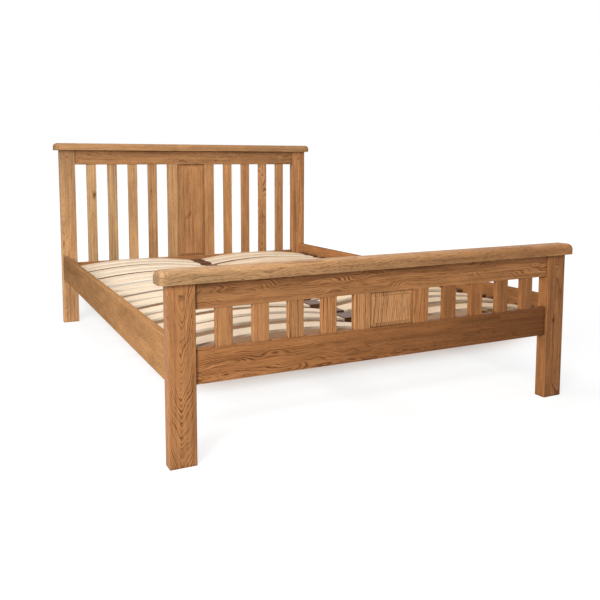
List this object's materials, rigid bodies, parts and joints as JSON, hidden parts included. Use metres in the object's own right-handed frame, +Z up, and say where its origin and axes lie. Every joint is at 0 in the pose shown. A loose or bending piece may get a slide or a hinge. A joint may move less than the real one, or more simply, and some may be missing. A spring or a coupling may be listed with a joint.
{
  "type": "wooden bed frame",
  "caption": "Slatted wooden bed frame with capped headboard and footboard, raised centre panels, plain side rails and a bowed sprung-slat base.",
  "frame": {"origin": "on the floor, under the middle of the bed's overall box", "axes": "+Z up, +Y from the footboard to the headboard, +X to the right as seen from the foot end"},
  "size_m": [1.638, 2.158, 1.036],
  "materials": {
    "oak": "satin lacquered oak",
    "birch": "smooth pale birch ply",
    "beech": "fluted beech, bare",
    "pine": "planed softwood, bare",
    "brown_plastic": "moulded, fine matt grain",
    "steel": "zinc plated",
    "black_plastic": "moulded, matt"
  },
  "bodies": {
    "bed_frame": {"bed_bolt_nuts": "steel", "bed_bolt_washers": "steel", "bed_bolts": "steel", "cap_dowels": "beech", "centre_leg": "oak", "centre_leg_stud": "steel", "centre_rail": "pine", "centre_rail_hangers": "steel", "centre_slat_holders": "brown_plastic", "footboard_bottom_rail": "oak", "footboard_cap": "oak", "footboard_panel": "oak", "footboard_panel_stile_left": "oak", "footboard_panel_stile_right": "oak", "footboard_post_left": "oak", "footboard_post_right": "oak", "footboard_slat_left_1": "oak", "footboard_slat_left_2": "oak", "footboard_slat_left_3": "oak", "footboard_slat_left_4": "oak", "footboard_slat_right_1": "oak", "footboard_slat_right_2": "oak", "footboard_slat_right_3": "oak", "footboard_slat_right_4": "oak", "footboard_top_rail": "oak", "hanger_screws": "steel", "headboard_bottom_rail": "oak", "headboard_cap": "oak", "headboard_panel": "oak", "headboard_panel_stile_left": "oak", "headboard_panel_stile_right": "oak", "headboard_post_left": "oak", "headboard_post_right": "oak", "headboard_slat_left_1": "oak", "headboard_slat_left_2": "oak", "headboard_slat_left_3": "oak", "headboard_slat_left_4": "oak", "headboard_slat_right_1": "oak", "headboard_slat_right_2": "oak", "headboard_slat_right_3": "oak", "headboard_slat_right_4": "oak", "headboard_top_rail": "oak", "ledger_screws": "steel", "outer_slat_holders_left": "brown_plastic", "outer_slat_holders_right": "brown_plastic", "post_pegs": "oak", "side_rail_dowels": "beech", "side_rail_left": "oak", "side_rail_right": "oak", "slat_ledger_left": "pine", "slat_ledger_right": "pine", "sprung_slats_row_1": "birch", "sprung_slats_row_2": "birch", "sprung_slats_row_3": "birch", "sprung_slats_row_4": "birch", "sprung_slats_row_5": "birch", "sprung_slats_row_6": "birch", "sprung_slats_row_7": "birch", "sprung_slats_row_8": "birch"},
    "levelling_foot": {"levelling_foot": "black_plastic"}
  },
  "joints": [
    {"name": "levelling_foot_screw", "type": "slide", "parent": "bed_frame", "child": "levelling_foot", "axis": [0, 0, 1], "range_m": [0, 0.012]}
  ]
}
